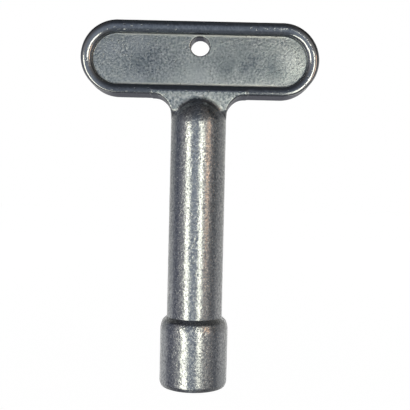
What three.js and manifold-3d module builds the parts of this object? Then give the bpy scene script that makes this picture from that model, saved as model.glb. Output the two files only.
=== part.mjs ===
// Radiator bleed key: a T grip with a raised rim, a round shank and a socket head for a square bleed screw.
// Millimetres, +Z up. The origin is the centre of the socket's mouth, and the key stands on that face.
// The grip lies in the XZ plane, and its front faces -Y.
import * as THREE from 'three';
import { mergeVertices } from 'three/addons/utils/BufferGeometryUtils.js';
import Module from 'manifold-3d';

// Driving dimensions
const GRIP_LENGTH = 39.9;          // X, end to end
const GRIP_HEIGHT = 12.3;          // Z
const GRIP_THICKNESS = 5;          // Y, over the rim crests
const RIM_WIDTH = 2.05;            // outer wall to panel
const RIM_ROUND = 1;               // crest rounding
const PANEL_THICKNESS = 3;
const OVERALL_LENGTH = 61.1;       // socket mouth to the top of the grip
const HOLE_DIAMETER = 3.2;
const HOLE_BELOW_TOP = 4.1;        // top of the grip to the hole's centre
const WEB_THICKNESS = 4.4;
const WEB_EDGE = 0.4;              // bevel round the web
const GUSSET_RADIUS = 3.3;
const SHANK_RADIUS = 4.65;
const DOME_CENTRE_Z = 44;
const HEAD_RADIUS = 5.7;           // below the shoulder
const MOUTH_RADIUS = 5.62;         // at the mouth, by casting draft
const MOUTH_EDGE = 0.3;
const SHOULDER_START_Z = 9.8;
const SHOULDER_KNEE_Z = 10.65;     // height of the curve's control point
const SHOULDER_END_Z = 11.6;
const SQUARE = 5.1;                // socket, across flats
const SOCKET_DEPTH = 9;
const SOCKET_LEAD_IN = 0.4;
const TENON_CLEARANCE = 0.15;      // per side, on the tenon and the tang
const TANG_WIDTH = 5;
const TANG_THICKNESS = 2;
const TANG_LENGTH = 5;
const TANG_END_GAP = 0.5;

// Mesh fineness
const ROUND_SEGMENTS = 64;
const STADIUM_SEGMENTS = 28;       // per half circle
const GUSSET_SEGMENTS = 10;
const RIM_SEGMENTS = 4;
const DOME_STEPS = 12;
const SHOULDER_STEPS = 5;
const HOLE_SEGMENTS = 32;

// Overshoot of a cutter past the face it opens
const OVERSHOOT = 1;

const GRIP_CENTRE_Z = OVERALL_LENGTH - GRIP_HEIGHT / 2;
const GRIP_BOTTOM_Z = OVERALL_LENGTH - GRIP_HEIGHT;
const HOLE_Z = OVERALL_LENGTH - HOLE_BELOW_TOP;

const wasm = await Module();
wasm.setup();

function toSolid(geometry) {
  const bare = geometry.index ? geometry.toNonIndexed() : geometry.clone();
  bare.deleteAttribute('normal');
  bare.deleteAttribute('uv');
  const merged = mergeVertices(bare, 1e-5);
  return new wasm.Manifold(new wasm.Mesh({
    numProp: 3,
    vertProperties: new Float32Array(merged.attributes.position.array),
    triVerts: new Uint32Array(merged.index.array),
  }));
}

function toGeometry(solid) {
  const mesh = solid.getMesh();
  const geometry = new THREE.BufferGeometry();
  geometry.setAttribute('position', new THREE.BufferAttribute(mesh.vertProperties, 3));
  geometry.setIndex(new THREE.BufferAttribute(mesh.triVerts, 1));
  geometry.computeVertexNormals();
  return geometry;
}

// Stadium outline: two half circles joined by straight sides, centred on the origin.
function addStadium(path, length, height) {
  const radius = height / 2;
  const straight = length / 2 - radius;
  path.moveTo(-straight, -radius);
  path.lineTo(straight, -radius);
  path.absarc(straight, 0, radius, -Math.PI / 2, Math.PI / 2, false);
  path.lineTo(-straight, radius);
  path.absarc(-straight, 0, radius, Math.PI / 2, 1.5 * Math.PI, false);
  return path;
}

// Extrudes an outline drawn in XZ to the given thickness, centred on the Y = 0 plane, with bevelled edges.
function plate(shape, thickness, bevel, bevelSegments, curveSegments) {
  const geometry = new THREE.ExtrudeGeometry(shape, {
    depth: thickness - 2 * bevel,
    bevelEnabled: bevel > 0,
    bevelThickness: bevel,
    bevelSize: bevel,
    bevelOffset: -bevel,
    bevelSegments,
    curveSegments,
  });
  geometry.translate(0, 0, bevel - thickness / 2);
  geometry.rotateX(Math.PI / 2);
  return geometry;
}

// A solid of revolution about Z, from [radius, z] points that start and end on the axis.
function turned(points) {
  const profile = points.map(([radius, z]) => new THREE.Vector2(radius, z));
  const geometry = new THREE.LatheGeometry(profile, ROUND_SEGMENTS);
  geometry.rotateX(Math.PI / 2);
  return geometry;
}

// The rim is a stadium ring with rounded crests, front and back.
function rim() {
  const ring = addStadium(new THREE.Shape(), GRIP_LENGTH, GRIP_HEIGHT);
  const innerLength = GRIP_LENGTH - 2 * RIM_WIDTH;
  const innerHeight = GRIP_HEIGHT - 2 * RIM_WIDTH;
  ring.holes.push(addStadium(new THREE.Path(), innerLength, innerHeight));
  const geometry = plate(ring, GRIP_THICKNESS, RIM_ROUND, RIM_SEGMENTS, STADIUM_SEGMENTS);
  return toSolid(geometry.translate(0, 0, GRIP_CENTRE_Z));
}

// The panel fills the rim and reaches half-way under its crests.
function panel() {
  const outline = addStadium(new THREE.Shape(), GRIP_LENGTH - RIM_WIDTH, GRIP_HEIGHT - RIM_WIDTH);
  const geometry = plate(outline, PANEL_THICKNESS, 0, 1, STADIUM_SEGMENTS);
  return toSolid(geometry.translate(0, 0, GRIP_CENTRE_Z));
}

function hangingHole() {
  const depth = PANEL_THICKNESS + 2 * OVERSHOOT;
  const geometry = new THREE.CylinderGeometry(HOLE_DIAMETER / 2, HOLE_DIAMETER / 2, depth, HOLE_SEGMENTS);
  return toSolid(geometry.translate(0, 0, HOLE_Z));
}

// The web runs from the grip down past the dome's foot, and a concave gusset eases each side into the shank.
function web() {
  const reach = SHANK_RADIUS + GUSSET_RADIUS;
  const gussetFootZ = GRIP_BOTTOM_Z - GUSSET_RADIUS;
  const outline = new THREE.Shape();
  outline.moveTo(-reach, GRIP_BOTTOM_Z);
  outline.absarc(-reach, gussetFootZ, GUSSET_RADIUS, Math.PI / 2, 0, true);
  outline.lineTo(-SHANK_RADIUS, DOME_CENTRE_Z - OVERSHOOT);
  outline.lineTo(SHANK_RADIUS, DOME_CENTRE_Z - OVERSHOOT);
  outline.lineTo(SHANK_RADIUS, gussetFootZ);
  outline.absarc(reach, gussetFootZ, GUSSET_RADIUS, Math.PI, Math.PI / 2, true);
  outline.lineTo(reach, GRIP_BOTTOM_Z + RIM_WIDTH / 2);
  outline.lineTo(-reach, GRIP_BOTTOM_Z + RIM_WIDTH / 2);
  return toSolid(plate(outline, WEB_THICKNESS, WEB_EDGE, 1, GUSSET_SEGMENTS));
}

// The shank's round section ends against the web in a dome that belongs to the handle.
function dome() {
  const points = [[0, DOME_CENTRE_Z]];
  for (let step = 0; step <= DOME_STEPS; step += 1) {
    const angle = (step / DOME_STEPS) * Math.PI / 2;
    const radius = step === DOME_STEPS ? 0 : SHANK_RADIUS * Math.cos(angle);
    points.push([radius, DOME_CENTRE_Z + SHANK_RADIUS * Math.sin(angle)]);
  }
  return toSolid(turned(points));
}

function box(sizeX, sizeY, lowZ, highZ) {
  const geometry = new THREE.BoxGeometry(sizeX, sizeY, highZ - lowZ);
  return toSolid(geometry.translate(0, 0, (lowZ + highZ) / 2));
}

function tangSlot() {
  const clearance = 2 * TENON_CLEARANCE;
  const topZ = DOME_CENTRE_Z + TANG_LENGTH + TANG_END_GAP;
  return box(TANG_WIDTH + clearance, TANG_THICKNESS + clearance, DOME_CENTRE_Z - OVERSHOOT, topZ);
}

// Everything below the dome's foot belongs to the shank.
function belowDome() {
  return box(GRIP_LENGTH, GRIP_LENGTH, 0, DOME_CENTRE_Z);
}

function handle() {
  const casting = rim().add(panel()).add(web()).add(dome());
  return casting.subtract(hangingHole()).subtract(tangSlot()).subtract(belowDome());
}

function shank() {
  const bar = toSolid(turned([
    [0, SHOULDER_END_Z],
    [SHANK_RADIUS, SHOULDER_END_Z],
    [SHANK_RADIUS, DOME_CENTRE_Z],
    [0, DOME_CENTRE_Z],
  ]));
  const tang = box(TANG_WIDTH, TANG_THICKNESS, DOME_CENTRE_Z - OVERSHOOT, DOME_CENTRE_Z + TANG_LENGTH);
  const tenonSide = SQUARE - 2 * TENON_CLEARANCE;
  const tenon = box(tenonSide, tenonSide, SOCKET_DEPTH, SHOULDER_END_Z + OVERSHOOT);
  return bar.add(tang).add(tenon);
}

// A four-sided taper that opens the socket's mouth by the lead-in on every side.
function socketLeadIn() {
  const halfDiagonal = Math.SQRT1_2;
  const wide = (SQUARE + 4 * SOCKET_LEAD_IN) * halfDiagonal;
  const narrow = SQUARE * halfDiagonal;
  const geometry = new THREE.CylinderGeometry(narrow, wide, 2 * SOCKET_LEAD_IN, 4);
  geometry.rotateY(Math.PI / 4);
  geometry.rotateX(Math.PI / 2);
  return toSolid(geometry);
}

// The shoulder is a quadratic curve from the head's full width in to the shank's.
function socketHead() {
  const shoulder = new THREE.QuadraticBezierCurve(
    new THREE.Vector2(HEAD_RADIUS, SHOULDER_START_Z),
    new THREE.Vector2(HEAD_RADIUS, SHOULDER_KNEE_Z),
    new THREE.Vector2(SHANK_RADIUS, SHOULDER_END_Z),
  );
  const sleeve = toSolid(turned([
    [0, 0],
    [MOUTH_RADIUS - MOUTH_EDGE, 0],
    [MOUTH_RADIUS, MOUTH_EDGE],
    ...shoulder.getPoints(SHOULDER_STEPS).map((point) => [point.x, point.y]),
    [0, SHOULDER_END_Z],
  ]));
  const square = box(SQUARE, SQUARE, -OVERSHOOT, SHOULDER_END_Z + OVERSHOOT);
  return sleeve.subtract(square).subtract(socketLeadIn());
}

function piece(name, solid, material) {
  const mesh = new THREE.Mesh(toGeometry(solid), material);
  mesh.name = name;
  return mesh;
}

const castMetal = new THREE.MeshStandardMaterial({ color: 0x8c9296, roughness: 0.55, metalness: 1 });
const tumbledMetal = new THREE.MeshStandardMaterial({ color: 0xa5a8aa, roughness: 0.32, metalness: 1 });

const key = new THREE.Group();
key.add(piece('handle', handle(), castMetal));
key.add(piece('shank', shank(), tumbledMetal));
key.add(piece('socket_head', socketHead(), tumbledMetal));

export default key;
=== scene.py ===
"""Looks of the radiator bleed key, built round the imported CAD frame.

Metres, +Z up. The key stands on its socket's mouth at the origin, and the grip's front faces -Y.
The three visible pieces are fine meshes of the same three solids that the frame holds.
"""
import math

import bmesh
import bpy
import numpy as np
from mathutils import Euler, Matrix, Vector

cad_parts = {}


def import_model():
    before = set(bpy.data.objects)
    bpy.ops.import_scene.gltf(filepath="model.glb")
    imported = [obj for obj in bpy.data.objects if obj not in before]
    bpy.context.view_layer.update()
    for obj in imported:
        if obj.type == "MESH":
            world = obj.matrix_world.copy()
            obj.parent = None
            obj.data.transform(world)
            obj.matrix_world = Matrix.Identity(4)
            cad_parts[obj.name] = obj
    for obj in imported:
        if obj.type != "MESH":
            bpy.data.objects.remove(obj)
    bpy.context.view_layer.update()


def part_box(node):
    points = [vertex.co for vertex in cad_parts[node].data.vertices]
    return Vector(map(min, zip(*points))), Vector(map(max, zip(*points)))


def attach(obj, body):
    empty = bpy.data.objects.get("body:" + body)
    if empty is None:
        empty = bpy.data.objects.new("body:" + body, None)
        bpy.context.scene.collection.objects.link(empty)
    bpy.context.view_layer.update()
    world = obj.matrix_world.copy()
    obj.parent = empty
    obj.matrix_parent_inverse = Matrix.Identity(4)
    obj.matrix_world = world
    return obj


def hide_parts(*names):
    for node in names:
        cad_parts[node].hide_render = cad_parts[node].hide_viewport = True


MM = 0.001
TINY = 1e-12                   # keeps divisions from meeting zero

# Camera: square on to the grip, level with the key's middle, rolled a little
CAMERA_X = 1.4 * MM
CAMERA_DISTANCE = 107.4 * MM
CAMERA_Z = 30.46 * MM
CAMERA_ROLL = math.radians(-1.29)
CAMERA_LENS_MM = 55.5
CAMERA_SENSOR_MM = 36.0
CAMERA_CLIP = 1 * MM

# Grip section
GRIP_HEIGHT = 12.3 * MM
GRIP_THICKNESS = 5 * MM
RIM_WIDTH = 2.0 * MM
RIM_CREST = 0.92 * MM          # outer wall to crest
RIM_DROP = 0.76 * MM           # the crest falls this far to where its flanks are upright
# The rim isn't the same all round. Towards the grip's top it gains the first amount, towards the bottom it
# loses it, and both ways it loses the second.
RIM_SKEW = (0.365 * MM, 0.315 * MM)     # of the width and of the crest's place
DROP_SKEW = (0.13 * MM, 0.27 * MM)      # of the drop
PANEL_THICKNESS = 3 * MM
PANEL_FILLET = 0.16 * MM
PANEL_CROWN = 0.08 * MM        # the panel swells this much, mostly near its edge
CROWN_REACH = 3.2 * MM
HOLE_RADIUS = 1.6 * MM
HOLE_BELOW_TOP = 4.1 * MM
HOLE_EDGE = 0.25 * MM

# Web and dome
WEB_THICKNESS = 5 * MM
WEB_DRAFT = 0.1                # it thins downwards by this slope on each face
WEB_EDGE = 0.28 * MM
WEB_OVERLAP = 0.88 * MM        # how far it reaches up the rim
WEB_FOOT = (44.1 * MM, 46.4 * MM)
WEB_FILLET = 0.3 * MM
GUSSET_RADIUS = 3.3 * MM
DOME_DIP = 0.5 * MM            # in front and behind, the dome starts this far below the handle's seam
DOME_FILLET = (0.03 * MM, 0.75 * MM)
DOME_FILLET_RISE = (44.6 * MM, 46 * MM)   # it grows from the first to the second over these heights

# Joints inside the key
TANG = (5 * MM, 2 * MM, 5 * MM)
CLEARANCE = 0.15 * MM
TANG_END_GAP = 0.5 * MM
SQUARE = 5.1 * MM
SQUARE_CORNER = 0.35 * MM
SOCKET_DEPTH = 9 * MM
SOCKET_LEAD_IN = 0.4 * MM

# Head profile: [radius, z, reach of the easing] at each corner, from the shoulder down to the mouth
HEAD_CORNERS_MM = ((5.4, 10.93, 0.22), (5.7, 9.9, 0.45), (5.66, 0.62, 0.16), (5.38, 0.05, 0.06))
MOUTH_RIM_MM = (5.2, 0)        # [radius, z] where the outside ends, on the mouth's face
CORNER_ROWS = 8

# Cast skin: shallow waves with equal slopes, and small dents left by tumbling
SKIN_WAVES = 48
SKIN_WAVE_LENGTH = (0.6 * MM, 2.6 * MM)
SKIN_STEEPNESS = 0.00033       # amplitude of a wave over its length
DENT_LENGTH = (0.16 * MM, 0.5 * MM)
DENT_WIDTH = (0.12 * MM, 0.2 * MM)
DENT_DEPTH = (0.006 * MM, 0.022 * MM)
DENT_REACH = 0.5 * MM          # along the normal, so that a dent stays on its own face
SEAM_MARGIN = 0.8 * MM
SKIN_SEED = 11
HANDLE_DENTS = 160
SHANK_DENTS = 170
HEAD_DENTS = 90

# Short slanting cuts: [x, z] of each on the piece's front, in millimetres, and their length, width and depth
SHANK_NICKS = ((-0.6, 21.9), (-0.25, 21.2), (0.05, 24.9), (-0.75, 23.6))
HEAD_NICKS = ((1.9, 9.7),)
NICK_SIZE = (0.38 * MM, 0.17 * MM, 0.07 * MM)
NICK_SLANT = math.radians(35)

# Where the handle's skin stays matte, where a highlight is painted along the rim's foot, and how far it looks
# round to find hollows to paint shade into
MATTE_FACING = (0.8, 0.95)
PANEL_LEVEL = (1.85 * MM, 2.05 * MM)
WEB_BORDER = (0.15 * MM, 0.4 * MM)
# Painted highlight along the rim's foot: the band where it is painted, and where it fades out towards the
# ends
RIM_FOOT_HIGHLIGHT_BAND = (0.24 * MM, 0.5 * MM)
RIM_FOOT_HIGHLIGHT_ENDS = (11.5 * MM, 15.5 * MM)
WEB_TOP = (49 * MM, 49.5 * MM)
HOLLOW_REACHES = (0.3 * MM, 0.6 * MM, 1 * MM, 1.6 * MM)

# Zinc looks: colours, roughness ranges, and lengths and bump heights in millimetres.
# Each noise has its scale, detail and roughness.
GRAIN_NOISE = (2.6, 2, 0.6)
GRAIN_RANGE = (0.36, 0.64)
PATCH_NOISE = (0.3, 3, 0.55)
PATCH_RANGE = (0.35, 0.65)
PATCH_TINT = 0.6
PEEL_NOISE = (1.6, 1, 0.5)
PEEL_DEPTH = 0.004
POLISH_ABOVE = (46, 48)        # the handle is tumbled below the first height, and polished above the second
PIT_SCALE = 1.25
PIT_REACH = (0.08, 0.2)
PIT_DEPTH = 0.02
PIT_TINT = 0.6
PIT_COLOR = (0.16, 0.165, 0.175, 1)
SCRATCH_TURNS = ((0.3, 0.7, 0), (-0.4, -0.5, 0), (0.2, 1.3, 0.3))
SCRATCH_WIDTH = 0.16
SCRATCH_LENGTH = 1.1
SCRATCH_NOISE = (1, 0, 0.5)
SCRATCH_CUT = (0.66, 0.74)
TUMBLED = {"dark": (0.46, 0.48, 0.51, 1), "light": (0.93, 0.94, 0.94, 1), "patch": (0.63, 0.66, 0.68, 1),
           "rough": (0.14, 0.22), "rough_patch": (0.0, 0.06), "grain": 0.032, "scratch": 0.01}
POLISHED = {"dark": (0.31, 0.33, 0.36, 1), "light": (0.5, 0.52, 0.55, 1), "patch": (0.39, 0.41, 0.445, 1),
            "rough": (0.05, 0.09), "rough_patch": (0.0, 0.03), "grain": 0.009, "scratch": 0.001}
MATTE = {"dark": (0.32, 0.37, 0.4, 1), "light": (0.98, 1.0, 1.0, 1), "patch": (0.62, 0.68, 0.68, 1),
         "rough": (0.27, 0.37), "rough_patch": (0.0, 0.03), "grain": 0.04, "scratch": 0.01}
SMUDGE_COLOR = (0.5, 0.53, 0.58, 1)     # it multiplies the skin's own colour
# Colour of the worn spots, which is partly a painted highlight
WEAR_AND_SHEEN_COLOR = (0.85, 0.88, 0.9, 1)
# Painted highlight along the rim's foot, on the panel
RIM_FOOT_HIGHLIGHT_COLOR = (1.0, 1.0, 0.93, 1)
RIM_FOOT_HIGHLIGHT_TINT = 0.95
# Spots on the panel and web: [x, z, radius, strength], each gone at SPOT_FADE times its radius
SMUDGES = ((-9, 54, 3.6, 0.75), (-4.5, 54.4, 2.2, 0.45), (4.6, 54, 3, 0.85), (8.4, 54.2, 3.6, 0.95),
           (12, 53.8, 2.9, 0.95), (0.6, 54.2, 2, 0.35), (7, 56.4, 3.4, 0.35), (15.8, 51.4, 1.7, 0.4))
# Light spots: worn, smoother skin, and partly also a painted highlight at the panel's ends
WEAR_AND_SHEEN_SPOTS = ((15.1, 55, 2, 0.42), (0, 51.2, 3, 0.35), (-15, 56.6, 1.9, 0.5), (-10.5, 57.7, 2.2, 0.5),
        (-10.5, 50.6, 2, 0.4))
SPOT_FADE = 1.5
MOTTLE_NOISE = (0.8, 2, 0.5)
MOTTLE_RANGE = (0.3, 0.7)
MOTTLE = (0.75, 1.25)          # a smudge's strength varies between these shares
WEAR_AND_SHEEN_ROUGH = 0.27
# Painted highlight: the rim's colour is lighter towards the grip's ends, to brighten its reflections there
RIM_END_HIGHLIGHT_COLOR = (0.66, 0.67, 0.68, 1)
RIM_END_HIGHLIGHT_REACH = (14.2, 18.4)     # from the grip's middle, where the painted highlight on the rim's ends starts, and where it is full
RIM_END_HIGHLIGHT_TINT = 0.85
# Painted shade: where the surface is hollow (corners, creases, the hole and round the dome's foot) the skin
# is painted darker, as if shaded
PAINTED_SHADE_HOLLOW = (0.13, 0.42)
PAINTED_SHADE_TINT = 0.75
PAINTED_SHADE_COLOR = (0.09, 0.095, 0.095, 1)
PAINTED_SHADE_ROUGH = 0.5

# Studio: [azimuth, colour] round the key, at its level and above, and then well below it. It is dark at the
# key's two sides, and in a stripe right behind it. Last, [sine of elevation, share] up it.
WHITE = (1, 1, 1, 1)
BACK_STRIPE = (0.22, 0.22, 0.23)
LOW_BACK_STRIPE = (0.13, 0.13, 0.15)
ROUND_LIGHT = ((-180, BACK_STRIPE), (-168, BACK_STRIPE), (-160, (0.32, 0.32, 0.315)),
               (-136, (0.335, 0.335, 0.33)), (-112, (0.24, 0.245, 0.25)), (-102, (0.10, 0.108, 0.135)),
               (-84, (0.09, 0.098, 0.13)), (-68, (0.25, 0.25, 0.27)), (-50, (0.36, 0.35, 0.36)),
               (-20, (0.26, 0.29, 0.34)), (4, (0.26, 0.29, 0.34)), (28, (0.34, 0.33, 0.33)),
               (42, (0.42, 0.4, 0.38)), (52, (0.36, 0.34, 0.33)), (64, (0.13, 0.13, 0.13)),
               (82, (0.09, 0.095, 0.10)), (96, (0.20, 0.2, 0.2)), (116, (0.28, 0.275, 0.27)),
               (136, (0.37, 0.365, 0.345)), (160, (0.37, 0.37, 0.36)), (168, BACK_STRIPE),
               (180, BACK_STRIPE))
LOW_LIGHT = ((-180, LOW_BACK_STRIPE), (-168, LOW_BACK_STRIPE), (-160, (0.46, 0.46, 0.46)),
             (-136, (0.5, 0.5, 0.5)), (-114, (0.47, 0.47, 0.475)), (-104, (0.30, 0.30, 0.32)),
             (-94, (0.12, 0.125, 0.15)), (-80, (0.12, 0.125, 0.155)), (-60, (0.26, 0.26, 0.28)),
             (-48, (0.33, 0.33, 0.34)), (-20, (0.30, 0.33, 0.37)), (4, (0.30, 0.33, 0.37)),
             (28, (0.34, 0.34, 0.34)), (46, (0.28, 0.28, 0.28)), (62, (0.16, 0.16, 0.165)),
             (80, (0.11, 0.115, 0.13)), (88, (0.13, 0.135, 0.15)), (100, (0.33, 0.33, 0.33)),
             (120, (0.42, 0.415, 0.41)), (160, (0.46, 0.46, 0.45)), (168, LOW_BACK_STRIPE),
             (180, LOW_BACK_STRIPE))
LOW_SINES = (0.04, -0.24)      # below the first the low light fades in, below the second it is alone
UPWARD_LIGHT = ((-1, 0.5), (-0.7, 0.5), (-0.4, 0.8), (-0.25, 1), (0.16, 1), (0.3, 0.78), (0.5, 0.42),
                (0.7, 0.21), (1, 0.21))

# Area lights: name, azimuth, elevation and lean in degrees, [width, height] in metres, radiance, colour
LIGHT_DISTANCE = 500 * MM
STRIPS = (("left_strip", -32.5, -14, 19, (0.115, 0.6), 2.4, (1, 0.98, 0.8)),
          ("right_strip", 17.5, -0.5, 8, (0.11, 0.32), 2.4, (1, 0.98, 0.8)),
          ("warm_strip", 44, 8, 0, (0.035, 0.22), 1.9, (1, 0.58, 0.3)),
          ("back_left_strip", -156, -12, 0, (0.04, 0.6), 1, (1, 0.98, 0.93)),
          ("back_right_strip", 156, -12, 0, (0.04, 0.6), 1, (1, 0.98, 0.93)))

# The floor glows almost white by itself, so that no shadow greys the backdrop
FLOOR_HALF = 3                 # metres, middle to edge
FLOOR_COLOR = (0.08, 0.08, 0.08, 1)
FLOOR_ROUGH = 0.9
FLOOR_GLOW = 0.98

# Mesh fineness
CELL = 0.14 * MM
NET_MARGIN = 3 * CELL          # empty space round the handle in its grid
NET_ROUNDS = 3                 # how often the net's points step on to the surface
NET_PROBE = 0.1                # the slope is measured this share of a cell to either side
LEAST_SLOPE = 0.2              # squared; keeps a step short where the distance field is flat
NORMAL_PROBE = CELL * 0.3
CUT_MERGE = CELL * 0.02        # points this close to a cut count as on it
ROUND_POINTS = 256
RING_ROUNDS = 12               # how often a square ring's points step on to its rounded corners
ROW_STEP = 0.14 * MM
SHARP_ANGLE = math.radians(38)

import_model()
grip_low, grip_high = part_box("handle")
shank_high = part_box("shank")[1]
head_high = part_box("socket_head")[1]

GRIP_TOP = grip_high[2]
GRIP_HALF_LENGTH = grip_high[0]
GRIP_RADIUS = GRIP_HEIGHT / 2
GRIP_CENTRE = GRIP_TOP - GRIP_RADIUS
GRIP_BOTTOM = GRIP_TOP - GRIP_HEIGHT
DOME_FOOT = grip_low[2]
SHANK_RADIUS = shank_high[0]
SHOULDER_END = head_high[2]


def camera():
    data = bpy.data.cameras.new("camera")
    data.lens = CAMERA_LENS_MM
    data.sensor_width = CAMERA_SENSOR_MM
    data.clip_start = CAMERA_CLIP
    made = bpy.data.objects.new("camera", data)
    made.location = (CAMERA_X, -CAMERA_DISTANCE, CAMERA_Z)
    made.rotation_euler = (math.pi / 2, CAMERA_ROLL, 0)
    bpy.context.collection.objects.link(made)
    bpy.context.scene.camera = made


# ---------------------------------------------------------------- signed distances

def smooth_step(value, low, high):
    part = np.clip((value - low) / (high - low), 0, 1)
    return part * part * (3 - 2 * part)


def smooth_union(a, b, size):
    """Joins two fields, with a fillet about as large as the size where they meet."""
    share = np.clip(0.5 + 0.5 * (b - a) / size, 0, 1)
    return b + (a - b) * share - size * share * (1 - share)


def smooth_cut(a, b, size):
    """Cuts with a tool whose field, b, is negative inside it, and rounds the edge of the cut."""
    return -smooth_union(-a, b, size)


def rounded_slab(a, b, half_a, half_b, radius):
    """Signed distance to a rectangle with rounded corners, in any two directions."""
    over_a = np.abs(a) - half_a + radius
    over_b = np.abs(b) - half_b + radius
    outside = np.hypot(np.maximum(over_a, 0), np.maximum(over_b, 0))
    return outside + np.minimum(np.maximum(over_a, over_b), 0) - radius


def stadium(x, z):
    straight = GRIP_HALF_LENGTH - GRIP_RADIUS
    return np.hypot(np.maximum(np.abs(x) - straight, 0), z - GRIP_CENTRE) - GRIP_RADIUS


def skew(z, amounts):
    """Change of a rim dimension with height: none at the grip's middle, and as its constants say beyond."""
    lift = np.clip((z - GRIP_CENTRE) / GRIP_RADIUS, -1, 1)
    return amounts[0] * lift - amounts[1] * lift * lift


def rim(x, y, z):
    """The bead round the grip: each flank is a quarter of an ellipse, and the inner one is wider."""
    crest = RIM_CREST + skew(z, RIM_SKEW)
    drop = RIM_DROP + skew(z, DROP_SKEW)
    from_crest = -stadium(x, z) - crest
    eased = np.where(from_crest > 0, from_crest * crest / (RIM_WIDTH - RIM_CREST), from_crest)
    below_crest = (GRIP_THICKNESS / 2 - np.abs(y)) * crest / drop
    return rounded_slab(eased, GRIP_THICKNESS / 2 - below_crest, crest, GRIP_THICKNESS / 2, crest)


def inside_rim(x, z):
    """Distance in from the rim's foot to a place on the panel."""
    return -stadium(x, z) - RIM_WIDTH - skew(z, RIM_SKEW)


def panel(x, y, z):
    """The sunk middle of the grip, with a face that swells a little away from the rim."""
    inside = np.clip(inside_rim(x, z) / CROWN_REACH, 0, 1)
    swell = PANEL_CROWN * (2 * inside - inside * inside)
    return np.maximum(np.abs(y) - PANEL_THICKNESS / 2 - swell, stadium(x, z) + RIM_CREST)


def web_outline(x, z):
    """Signed distance in XZ to the web: a concave gusset on each side, straight sides below."""
    beside = np.abs(x) - SHANK_RADIUS - GUSSET_RADIUS
    above = z - GRIP_BOTTOM + GUSSET_RADIUS
    side = GUSSET_RADIUS - np.hypot(np.minimum(beside, 0), np.maximum(above, 0))
    return np.maximum(np.maximum(side, z - GRIP_BOTTOM - WEB_OVERLAP), beside)


def web_half(z):
    """Half the web's thickness. It falls to nothing at the foot, where the web runs into the shank."""
    full = WEB_THICKNESS / 2 - WEB_DRAFT * np.clip(GRIP_BOTTOM - z, 0, GUSSET_RADIUS)
    return full * smooth_step(z, *WEB_FOOT)


def web(x, y, z):
    half = web_half(z)
    edge = np.minimum(WEB_EDGE, half)
    over_side = web_outline(x, z) + edge
    over_face = np.abs(y) - half + edge
    outside = np.hypot(np.maximum(over_side, 0), np.maximum(over_face, 0))
    return outside + np.minimum(np.maximum(over_side, over_face), 0) - edge


def dome_lift(z, facing_y):
    """Height above the dome's start, scaled so that the dome is a ball.

    facing_y is 1 in front and behind, where the dome starts lower, and 0 at the sides.
    """
    dip = DOME_DIP * facing_y
    return np.maximum(z - DOME_FOOT + dip, 0) * SHANK_RADIUS / (SHANK_RADIUS + dip)


def dome(x, y, z):
    across = np.maximum(x * x + y * y, TINY)
    return np.sqrt(across + dome_lift(z, y * y / across) ** 2) - SHANK_RADIUS


def tang_slot(x, y, z):
    over_x = np.abs(x) - TANG[0] / 2 - CLEARANCE
    over_y = np.abs(y) - TANG[1] / 2 - CLEARANCE
    over_z = z - DOME_FOOT - TANG[2] - TANG_END_GAP
    return np.maximum(np.maximum(over_x, over_y), over_z)


def handle_field(x, y, z):
    grip = smooth_union(rim(x, y, z), panel(x, y, z), PANEL_FILLET)
    body = smooth_union(grip, web(x, y, z), WEB_FILLET)
    fillet = DOME_FILLET[0] + (DOME_FILLET[1] - DOME_FILLET[0]) * smooth_step(z, *DOME_FILLET_RISE)
    body = smooth_union(body, dome(x, y, z), fillet)
    hole = np.hypot(x, z - GRIP_TOP + HOLE_BELOW_TOP) - HOLE_RADIUS
    body = smooth_cut(body, hole, HOLE_EDGE)
    return np.maximum(body, -tang_slot(x, y, z))


# ---------------------------------------------------------------- meshing

def surface_net(field, low, high, cell):
    """One vertex in each cell that the surface passes through, joined into quads."""
    axes = [np.arange(a, b + cell, cell) for a, b in zip(low, high)]
    x, y, z = np.meshgrid(*axes, indexing="ij")
    value = field(x, y, z)
    cells = np.array(value.shape) - 1
    total = np.zeros((cells.prod(), 3))
    count = np.zeros(cells.prod())
    quads = []
    for axis in range(3):
        first = [slice(None)] * 3
        second = [slice(None)] * 3
        first[axis] = slice(0, -1)
        second[axis] = slice(1, None)
        start, end = value[tuple(first)], value[tuple(second)]
        edges = np.argwhere((start < 0) != (end < 0))
        at_start = start[tuple(edges.T)]
        at_end = end[tuple(edges.T)]
        point = edges.astype(float)
        point[:, axis] += at_start / (at_start - at_end)
        side, up = (axis + 1) % 3, (axis + 2) % 3
        around = []
        for step_side, step_up in ((1, 1), (0, 1), (0, 0), (1, 0)):
            corner = edges.copy()
            corner[:, side] -= step_side
            corner[:, up] -= step_up
            around.append(np.ravel_multi_index(corner.T, cells, mode="clip"))
            np.add.at(total, around[-1], point)
            np.add.at(count, around[-1], 1)
        quad = np.stack(around, 1)
        outward = at_start < 0
        quads.append(np.where(outward[:, None], quad, quad[:, ::-1]))
    used = np.flatnonzero(count)
    number = np.full(cells.prod(), -1)
    number[used] = np.arange(len(used))
    points = total[used] / count[used, None] * cell + np.array(low)
    return settle(field, points, cell), number[np.concatenate(quads)]


def slope(field, points, step):
    """The field's gradient, which points straight out of the surface."""
    columns = []
    for axis in range(3):
        shift = np.zeros(3)
        shift[axis] = step
        columns.append(field(*(points + shift).T) - field(*(points - shift).T))
    return np.stack(columns, 1) / (2 * step)


def settle(field, points, cell):
    """Moves the points on to the surface, by half a cell at most along each axis in each round."""
    for _ in range(NET_ROUNDS):
        away = slope(field, points, cell * NET_PROBE)
        steepness = np.maximum((away ** 2).sum(1), LEAST_SLOPE)
        move = -field(*points.T)[:, None] * away / steepness[:, None]
        points = points + np.clip(move, -cell / 2, cell / 2)
    return points


# ---------------------------------------------------------------- cast skin

def unit(vectors):
    return vectors / np.maximum(np.linalg.norm(vectors, axis=-1, keepdims=True), TINY)


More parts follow.
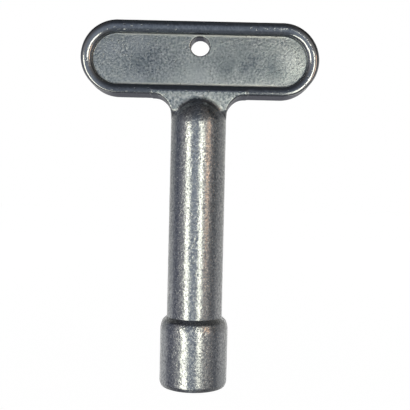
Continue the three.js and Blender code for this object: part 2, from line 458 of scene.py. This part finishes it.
def skin_waves(points):
    """Height of the uneven cast skin. It is one field in space, so it runs on across the seams."""
    draw = np.random.default_rng(SKIN_SEED)
    total = np.zeros(len(points))
    for _ in range(SKIN_WAVES):
        direction = unit(draw.normal(size=3))
        length = draw.uniform(*SKIN_WAVE_LENGTH)
        phase = draw.uniform(0, 2 * math.pi)
        total += SKIN_STEEPNESS * length * np.sin(points @ direction * 2 * math.pi / length + phase)
    return total


def dents(points, normals, count, seed):
    """Depth of small lens-shaped dents at random points of the surface, well away from the seams."""
    draw = np.random.default_rng(seed)
    height = points[:, 2]
    low, high = height.min() + SEAM_MARGIN, height.max() - SEAM_MARGIN
    allowed = np.flatnonzero((height > low) & (height < high))
    total = np.zeros(len(points))
    for centre in draw.choice(allowed, count, replace=False):
        along = unit(np.cross(normals[centre], draw.normal(size=3)))
        across = np.cross(normals[centre], along)
        length = draw.uniform(*DENT_LENGTH)
        width = draw.uniform(*DENT_WIDTH)
        depth = draw.uniform(*DENT_DEPTH)
        offset = points - points[centre]
        spread = (offset @ along / length) ** 2 + (offset @ across / width) ** 2
        spread += (offset @ normals[centre] / DENT_REACH) ** 2
        total += depth * np.exp(-spread)
    return total


def nicks(points, places):
    """Depth of short slanting cuts in the front of a round piece."""
    length, width, depth = NICK_SIZE
    total = np.zeros(len(points))
    for x, z in places:
        right, up = points[:, 0] - x * MM, points[:, 2] - z * MM
        along = right * math.sin(NICK_SLANT) + up * math.cos(NICK_SLANT)
        across = right * math.cos(NICK_SLANT) - up * math.sin(NICK_SLANT)
        total += depth * np.exp(-(along / length) ** 2 - (across / width) ** 2)
    return np.where(points[:, 1] < 0, total, 0)


def make_object(name, points, faces):
    mesh = bpy.data.meshes.new(name)
    mesh.from_pydata(points.tolist(), [], [list(face) for face in faces])
    mesh.validate()
    made = bpy.data.objects.new(name, mesh)
    bpy.context.collection.objects.link(made)
    return made


def cut_flat(piece, height):
    """Cuts off what lies below the height, and closes the cut with a flat face."""
    work = bmesh.new()
    work.from_mesh(piece.data)
    everything = work.verts[:] + work.edges[:] + work.faces[:]
    bmesh.ops.bisect_plane(work, geom=everything, plane_co=(0, 0, height), plane_no=(0, 0, 1),
                           clear_inner=True, dist=CUT_MERGE)
    rim_edges = [edge for edge in work.edges if edge.is_boundary]
    bmesh.ops.triangle_fill(work, edges=rim_edges, use_beauty=True)
    bmesh.ops.recalc_face_normals(work, faces=work.faces[:])
    work.to_mesh(piece.data)
    work.free()


def finish_mesh(piece, material):
    """Gives the piece its material and smooth shading, and keeps its sharp edges."""
    piece.data.polygons.foreach_set("use_smooth", [True] * len(piece.data.polygons))
    piece.data.set_sharp_from_angle(angle=SHARP_ANGLE)
    piece.data.materials.append(material)


# ---------------------------------------------------------------- pieces

def mark_surface(piece):
    """Stores for the material where the skin is matte, how hollow the surface is for painted shade, and the
    painted highlight along the rim's foot.
    """
    count = len(piece.data.vertices)
    points = np.empty(count * 3)
    piece.data.vertices.foreach_get("co", points)
    points = points.reshape(count, 3)
    normals = unit(slope(handle_field, points, NORMAL_PROBE))
    facing = smooth_step(np.abs(normals[:, 1]), *MATTE_FACING)
    x, y, z = points.T
    on_panel = 1 - smooth_step(np.abs(y), *PANEL_LEVEL)
    on_web = (1 - smooth_step(z, *WEB_TOP)) * smooth_step(-web_outline(x, z), *WEB_BORDER)
    off_dome = smooth_step(dome(x, y, z), 0, DOME_FILLET[1] / 2)
    matte = facing * np.maximum(on_panel, on_web * off_dome)
    open_share = [np.clip(handle_field(*(points + normals * reach).T) / reach, 0, 1)
                  for reach in HOLLOW_REACHES]
    hollow = 1 - np.mean(open_share, axis=0)
    # Painted highlight along the panel's edge at the rim's foot
    rim_foot_highlight = 1 - smooth_step(inside_rim(x, z), *RIM_FOOT_HIGHLIGHT_BAND)
    rim_foot_highlight = rim_foot_highlight * on_panel * (1 - smooth_step(np.abs(x), *RIM_FOOT_HIGHLIGHT_ENDS))
    for name, values in (("matte", matte), ("hollow", hollow), ("rim_foot_highlight", rim_foot_highlight)):
        layer = piece.data.attributes.new(name, "FLOAT", "POINT")
        layer.data.foreach_set("value", values.astype(np.float32))


def make_handle(material):
    low = (-GRIP_HALF_LENGTH - NET_MARGIN, -SHANK_RADIUS - NET_MARGIN, DOME_FOOT - 2 * NET_MARGIN)
    high = (GRIP_HALF_LENGTH + NET_MARGIN, SHANK_RADIUS + NET_MARGIN, GRIP_TOP + NET_MARGIN)
    points, faces = surface_net(handle_field, low, high, CELL)
    normals = unit(slope(handle_field, points, NORMAL_PROBE))
    rise = skin_waves(points) - dents(points, normals, HANDLE_DENTS, SKIN_SEED + 1)
    piece = make_object("handle_casting", points + normals * rise[:, None], faces)
    cut_flat(piece, DOME_FOOT)
    mark_surface(piece)
    finish_mesh(piece, material)
    return piece


def ring_rays():
    """Directions from the axis, evenly round it."""
    angle = np.arange(ROUND_POINTS) * 2 * math.pi / ROUND_POINTS
    return np.stack([np.cos(angle), np.sin(angle)], 1)


def ring(reach, height):
    """A ring of points at one height. The reach is one radius, or a column of them."""
    return np.column_stack([ring_rays() * reach, np.full(ROUND_POINTS, height)])


def shank_ring(height):
    """The bar's section. Near its top it narrows a little in front and behind, where the dome starts."""
    facing_y = ring_rays()[:, 1:] ** 2
    return ring(np.sqrt(SHANK_RADIUS ** 2 - dome_lift(height, facing_y) ** 2), height)


def box_ring(half_x, half_y, corner, height):
    """A rounded rectangle with as many points as a circle, each on the ray at its own angle."""
    rays = ring_rays()
    along_x, along_y = np.maximum(np.abs(rays.T), TINY)
    reach = np.minimum(half_x / along_x, half_y / along_y)
    for _ in range(RING_ROUNDS):
        x, y = (rays * reach[:, None]).T
        reach = reach - rounded_slab(x, y, half_x, half_y, corner)
    return ring(reach[:, None], height)


def join_rings(rings, closed):
    """Quads between neighbouring rings. A closed run meets itself, an open one gets end faces."""
    points = np.concatenate(rings)
    faces = []
    count = len(rings)
    for row in range(count if closed else count - 1):
        for column in range(ROUND_POINTS):
            after = (column + 1) % ROUND_POINTS
            low, high = row * ROUND_POINTS, ((row + 1) % count) * ROUND_POINTS
            faces.append((low + column, low + after, high + after, high + column))
    if not closed:
        faces.append(tuple(range(ROUND_POINTS))[::-1])
        faces.append(tuple(range((count - 1) * ROUND_POINTS, count * ROUND_POINTS)))
    return points, faces


def press_skin(rings, count, seed, cuts):
    """Moves the points of round rings in or out by the skin's waves, dents and nicks."""
    points = np.concatenate(rings)
    normals = unit(points * (1, 1, 0))
    rise = skin_waves(points) - dents(points, normals, count, seed) - nicks(points, cuts)
    return list((points + normals * rise[:, None]).reshape(len(rings), ROUND_POINTS, 3))


def heights(low, high):
    """Heights of a round piece's rows of points."""
    return np.linspace(low, high, max(2, round((high - low) / ROW_STEP)))


def make_shank(material):
    tenon_half = SQUARE / 2 - CLEARANCE
    rings = [box_ring(tenon_half, tenon_half, SQUARE_CORNER, SOCKET_DEPTH),
             box_ring(tenon_half, tenon_half, SQUARE_CORNER, SHOULDER_END)]
    round_rings = [shank_ring(height) for height in heights(SHOULDER_END, DOME_FOOT)]
    rings += press_skin(round_rings, SHANK_DENTS, SKIN_SEED + 2, SHANK_NICKS)
    rings += [box_ring(TANG[0] / 2, TANG[1] / 2, SQUARE_CORNER, DOME_FOOT),
              box_ring(TANG[0] / 2, TANG[1] / 2, SQUARE_CORNER, DOME_FOOT + TANG[2])]
    points, faces = join_rings(rings, closed=False)
    piece = make_object("shank_bar", points, faces)
    finish_mesh(piece, material)
    return piece


def head_profile():
    """[radius, z] down the outside of the head, from the shank to the mouth, with eased corners."""
    corners = np.array([(radius, z) for radius, z, _ in HEAD_CORNERS_MM]) * MM
    reaches = [reach * MM for _, _, reach in HEAD_CORNERS_MM]
    path = [np.array([SHANK_RADIUS, SHOULDER_END])]
    stops = [path[0], *corners, np.array(MOUTH_RIM_MM) * MM]
    for before, corner, after, reach in zip(stops, stops[1:], stops[2:], reaches):
        start = corner + unit(before - corner) * reach
        end = corner + unit(after - corner) * reach
        rows = max(2, round(np.linalg.norm(start - path[-1]) / ROW_STEP))
        path += list(np.linspace(path[-1], start, rows + 1)[1:])
        for step in np.linspace(0, 1, CORNER_ROWS)[1:]:
            path.append((1 - step) ** 2 * start + 2 * step * (1 - step) * corner + step ** 2 * end)
    path.append(stops[-1])
    return path


def make_head(material):
    rings = [ring(radius, height) for radius, height in head_profile()]
    rings = press_skin(rings, HEAD_DENTS, SKIN_SEED + 3, HEAD_NICKS)
    wide = SQUARE / 2 + SOCKET_LEAD_IN
    rings.append(box_ring(wide, wide, SQUARE_CORNER, 0))
    rings += [box_ring(SQUARE / 2, SQUARE / 2, SQUARE_CORNER, height)
              for height in heights(SOCKET_LEAD_IN, SHOULDER_END)]
    points, faces = join_rings(rings[::-1], closed=True)
    piece = make_object("head_sleeve", points, faces)
    finish_mesh(piece, material)
    return piece


# ---------------------------------------------------------------- materials

def add(tree, kind, inputs, **settings):
    """Adds a node. An input is a number or colour to set, or another node's output to link."""
    node = tree.nodes.new(kind)
    for name, value in settings.items():
        setattr(node, name, value)
    for name, value in inputs.items():
        if isinstance(value, bpy.types.NodeSocket):
            tree.links.new(value, node.inputs[name])
        else:
            node.inputs[name].default_value = value
    return node


def combine(tree, operation, *values):
    return add(tree, "ShaderNodeMath", dict(enumerate(values)), operation=operation).outputs[0]


def remap(tree, value, old, new, smooth=False):
    inputs = {"Value": value, "From Min": old[0], "From Max": old[1], "To Min": new[0], "To Max": new[1]}
    kind = "SMOOTHSTEP" if smooth else "LINEAR"
    return add(tree, "ShaderNodeMapRange", inputs, interpolation_type=kind).outputs[0]


def blend(tree, factor, first, second, how="MIX"):
    """Mixes two colours. The integers are the Mix node's colour sockets."""
    inputs = {0: factor, 6: first, 7: second}
    return add(tree, "ShaderNodeMix", inputs, data_type="RGBA", blend_type=how).outputs[2]


def noise(tree, where, scale, detail, rough):
    inputs = {"Vector": where, "Scale": scale, "Detail": detail, "Roughness": rough}
    return add(tree, "ShaderNodeTexNoise", inputs).outputs["Fac"]


def in_millimetres(tree):
    place = add(tree, "ShaderNodeTexCoord", {}).outputs["Object"]
    return add(tree, "ShaderNodeVectorMath", {0: place, "Scale": 1 / MM}, operation="SCALE").outputs[0]


def scratches(tree, where, turn):
    """Thin straight marks in one direction: stretched noise, with only its highest parts kept."""
    inputs = {"Vector": where, "Rotation": turn, "Scale": (SCRATCH_WIDTH, SCRATCH_WIDTH, SCRATCH_LENGTH)}
    stretched = add(tree, "ShaderNodeMapping", inputs, vector_type="TEXTURE").outputs[0]
    return remap(tree, noise(tree, stretched, *SCRATCH_NOISE), SCRATCH_CUT, (0, 1), smooth=True)


def pits(tree, where, scale, reach):
    """Small round craters, where the surface passes close to one of many scattered points."""
    cells = add(tree, "ShaderNodeTexVoronoi", {"Vector": where, "Scale": scale})
    return remap(tree, cells.outputs["Distance"], reach, (1, 0), smooth=True)


def spots(tree, where, places):
    """Soft patches of the cast skin, each at [x, z] with its radius and strength, on both faces."""
    split = add(tree, "ShaderNodeSeparateXYZ", {0: where}).outputs
    flat = add(tree, "ShaderNodeCombineXYZ", {0: split["X"], 1: 0.0, 2: split["Z"]}).outputs[0]
    total = None
    for x, z, radius, strength in places:
        away = add(tree, "ShaderNodeVectorMath", {0: flat, 1: (x, 0, z)}, operation="DISTANCE")
        soft = remap(tree, away.outputs["Value"], (0, radius * SPOT_FADE), (strength, 0), smooth=True)
        total = soft if total is None else combine(tree, "MAXIMUM", total, soft)
    return total


def mix(tree, factor, first, second):
    """Mixes two numbers. The integers are the Mix node's number sockets."""
    return add(tree, "ShaderNodeMix", {0: factor, 2: first, 3: second}).outputs[0]


def skin(tree, fine, broad, look):
    """One finish of the zinc: its colour, roughness, height and depth of scratches."""
    color = blend(tree, remap(tree, fine, GRAIN_RANGE, (0, 1)), look["dark"], look["light"])
    color = blend(tree, remap(tree, broad, PATCH_RANGE, (0, PATCH_TINT)), color, look["patch"])
    rough = combine(tree, "ADD", remap(tree, fine, GRAIN_RANGE, look["rough"]),
                    remap(tree, broad, PATCH_RANGE, look["rough_patch"]))
    return color, rough, combine(tree, "MULTIPLY", fine, look["grain"]), look["scratch"]


def mix_skins(tree, factor, first, second):
    """Mixes two finishes, colour by colour and number by number."""
    color = blend(tree, factor, first[0], second[0])
    return color, *(mix(tree, factor, one, other) for one, other in zip(first[1:], second[1:]))


def recessed_skin(tree, where, fine, broad):
    """The matte recesses: smudged here, worn and painted lighter as a highlight there, and with a painted
    highlight along the foot of the rim.
    """
    color, rough, height, cut = skin(tree, fine, broad, MATTE)
    # Worn spots, partly a painted highlight: lighter and smoother skin
    wear_and_sheen = spots(tree, where, WEAR_AND_SHEEN_SPOTS)
    mottle = remap(tree, noise(tree, where, *MOTTLE_NOISE), MOTTLE_RANGE, MOTTLE)
    smudged = combine(tree, "MULTIPLY", spots(tree, where, SMUDGES), mottle)
    color = blend(tree, smudged, color, SMUDGE_COLOR, "MULTIPLY")
    color = blend(tree, wear_and_sheen, color, WEAR_AND_SHEEN_COLOR)
    # Painted highlight along the rim's foot
    rim_foot_highlight = add(tree, "ShaderNodeAttribute", {}, attribute_name="rim_foot_highlight").outputs["Fac"]
    color = blend(tree, combine(tree, "MULTIPLY", rim_foot_highlight, RIM_FOOT_HIGHLIGHT_TINT), color, RIM_FOOT_HIGHLIGHT_COLOR)
    return color, mix(tree, wear_and_sheen, rough, WEAR_AND_SHEEN_ROUGH), height, cut


def marked_skin(tree, where, fine, broad, tumbled_skin):
    """The handle's skin: tumbled dome, polished rim with a painted highlight on its ends, matte recesses, and
    painted shade in its corners and hollows.
    """
    recess = add(tree, "ShaderNodeAttribute", {}, attribute_name="matte").outputs["Fac"]
    hollow = add(tree, "ShaderNodeAttribute", {}, attribute_name="hollow").outputs["Fac"]
    place = add(tree, "ShaderNodeSeparateXYZ", {0: where}).outputs
    polish = remap(tree, place["Z"], POLISH_ABOVE, (0, 1))
    # Painted highlight: the rim is painted lighter towards the grip's ends
    rim_end_highlight = remap(tree, combine(tree, "ABSOLUTE", place["X"]), RIM_END_HIGHLIGHT_REACH, (0, RIM_END_HIGHLIGHT_TINT), smooth=True)
    color, *rest = skin(tree, fine, broad, POLISHED)
    rim_skin = (blend(tree, rim_end_highlight, color, RIM_END_HIGHLIGHT_COLOR), *rest)
    bare = mix_skins(tree, polish, tumbled_skin, rim_skin)
    color, rough, bumps, cut = mix_skins(tree, recess, bare, recessed_skin(tree, where, fine, broad))
    # Painted shade in hollow places, kept off the matte recesses
    painted_shade = remap(tree, hollow, PAINTED_SHADE_HOLLOW, (0, PAINTED_SHADE_TINT), smooth=True)
    painted_shade = combine(tree, "MULTIPLY", painted_shade, combine(tree, "SUBTRACT", 1.0, recess))
    return blend(tree, painted_shade, color, PAINTED_SHADE_COLOR), mix(tree, painted_shade, rough, PAINTED_SHADE_ROUGH), bumps, cut


def zinc(name, marked):
    """Bare zinc. A marked piece has matte recesses, and shade painted darker into its corners, where its mesh
    says so.
    """
    material = bpy.data.materials.new(name)
    material.use_nodes = True
    tree = material.node_tree
    shader = tree.nodes["Principled BSDF"]
    shader.inputs["Metallic"].default_value = 1
    where = in_millimetres(tree)
    fine = noise(tree, where, *GRAIN_NOISE)
    broad = noise(tree, where, *PATCH_NOISE)
    color, rough, height, cut = skin(tree, fine, broad, TUMBLED)
    if marked:
        color, rough, height, cut = marked_skin(tree, where, fine, broad, (color, rough, height, cut))
    crater = pits(tree, where, PIT_SCALE, PIT_REACH)
    lines = None
    for turn in SCRATCH_TURNS:
        marks = scratches(tree, where, turn)
        lines = marks if lines is None else combine(tree, "MAXIMUM", lines, marks)
    color = blend(tree, combine(tree, "MULTIPLY", crater, PIT_TINT), color, PIT_COLOR)
    peel = combine(tree, "MULTIPLY", noise(tree, where, *PEEL_NOISE), PEEL_DEPTH)
    height = combine(tree, "ADD", height, peel)
    height = combine(tree, "SUBTRACT", height, combine(tree, "MULTIPLY", crater, PIT_DEPTH))
    height = combine(tree, "SUBTRACT", height, combine(tree, "MULTIPLY", lines, cut))
    bump = add(tree, "ShaderNodeBump", {"Height": height, "Distance": MM, "Strength": 1.0})
    tree.links.new(color, shader.inputs["Base Color"])
    tree.links.new(rough, shader.inputs["Roughness"])
    tree.links.new(bump.outputs[0], shader.inputs["Normal"])
    return material


# ---------------------------------------------------------------- studio

def soft_light(name, azimuth, elevation, lean, size, radiance, color):
    """An area light aimed at the key. Azimuth 0 is on the camera's side, and grows to the right."""
    centre = (0, 0, CAMERA_Z)
    data = bpy.data.lights.new(name, "AREA")
    data.shape = "RECTANGLE"
    data.size, data.size_y = size
    data.energy = radiance * math.pi * size[0] * size[1]
    data.color = color
    light = bpy.data.objects.new(name, data)
    turn, lift, roll = (math.radians(angle) for angle in (azimuth, elevation, lean))
    away = (math.sin(turn) * math.cos(lift), -math.cos(turn) * math.cos(lift), math.sin(lift))
    light.location = [c + LIGHT_DISTANCE * a for c, a in zip(centre, away)]
    light.rotation_euler = Euler((0, 0, roll)).to_matrix().to_euler()
    light.rotation_euler.rotate(Euler((math.pi / 2 - lift, 0, turn)))
    light.visible_camera = False
    bpy.context.collection.objects.link(light)


def color_ramp(tree, value, stops):
    """A ramp of colours. Its stops are [place from 0 to 1, colour], in order."""
    node = add(tree, "ShaderNodeValToRGB", {"Fac": value})
    elements = node.color_ramp.elements
    while len(elements) < len(stops):
        elements.new(0.5)
    for element, (place, color) in zip(elements, stops):
        element.position = place
        element.color = (*color, 1)
    return node.outputs["Color"]


def world():
    """White for the camera to see, and for the key soft light that depends only on direction."""
    made = bpy.data.worlds.new("studio")
    bpy.context.scene.world = made
    made.use_nodes = True
    tree = made.node_tree
    tree.nodes.clear()
    where = add(tree, "ShaderNodeTexCoord", {}).outputs["Generated"]
    split = add(tree, "ShaderNodeSeparateXYZ", {0: where})
    toward_camera = combine(tree, "MULTIPLY", split.outputs["Y"], -1.0)
    azimuth = combine(tree, "ARCTAN2", split.outputs["X"], toward_camera)
    around = remap(tree, azimuth, (-math.pi, math.pi), (0, 1))
    upward = remap(tree, split.outputs["Z"], (-1, 1), (0, 1))
    level = color_ramp(tree, around, [(angle / 360 + 0.5, shade) for angle, shade in ROUND_LIGHT])
    low = color_ramp(tree, around, [(angle / 360 + 0.5, shade) for angle, shade in LOW_LIGHT])
    color = blend(tree, remap(tree, split.outputs["Z"], LOW_SINES, (0, 1)), level, low)
    share = color_ramp(tree, upward, [(sine / 2 + 0.5, (part,) * 3) for sine, part in UPWARD_LIGHT])
    lit = add(tree, "ShaderNodeBackground", {"Color": color, "Strength": share})
    seen = add(tree, "ShaderNodeBackground", {"Color": WHITE})
    to_camera = add(tree, "ShaderNodeLightPath", {}).outputs["Is Camera Ray"]
    either = add(tree, "ShaderNodeMixShader", {0: to_camera, 1: lit.outputs[0], 2: seen.outputs[0]})
    add(tree, "ShaderNodeOutputWorld", {0: either.outputs[0]})


def floor():
    """The white floor that the key stands on. The key doesn't mirror it."""
    corners = ((-1, -1, 0), (1, -1, 0), (1, 1, 0), (-1, 1, 0))
    points = np.array(corners, dtype=float) * FLOOR_HALF
    made = make_object("studio_floor", points, [(0, 1, 2, 3)])
    material = bpy.data.materials.new("floor_white")
    material.use_nodes = True
    shader = material.node_tree.nodes["Principled BSDF"]
    shader.inputs["Base Color"].default_value = FLOOR_COLOR
    shader.inputs["Roughness"].default_value = FLOOR_ROUGH
    shader.inputs["Emission Color"].default_value = WHITE
    shader.inputs["Emission Strength"].default_value = FLOOR_GLOW
    made.data.materials.append(material)
    made.visible_glossy = False


camera()
world()
floor()
for strip in STRIPS:
    soft_light(*strip)

cast = zinc("cast_zinc", marked=True)
tumbled = zinc("tumbled_zinc", marked=False)
for piece, node, slot in ((make_handle(cast), "handle", "cast_zinc"),
                          (make_shank(tumbled), "shank", "tumbled_zinc"),
                          (make_head(tumbled), "socket_head", "tumbled_zinc")):
    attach(piece, "root")
    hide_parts(node)

bpy.context.scene.view_settings.view_transform = "Standard"
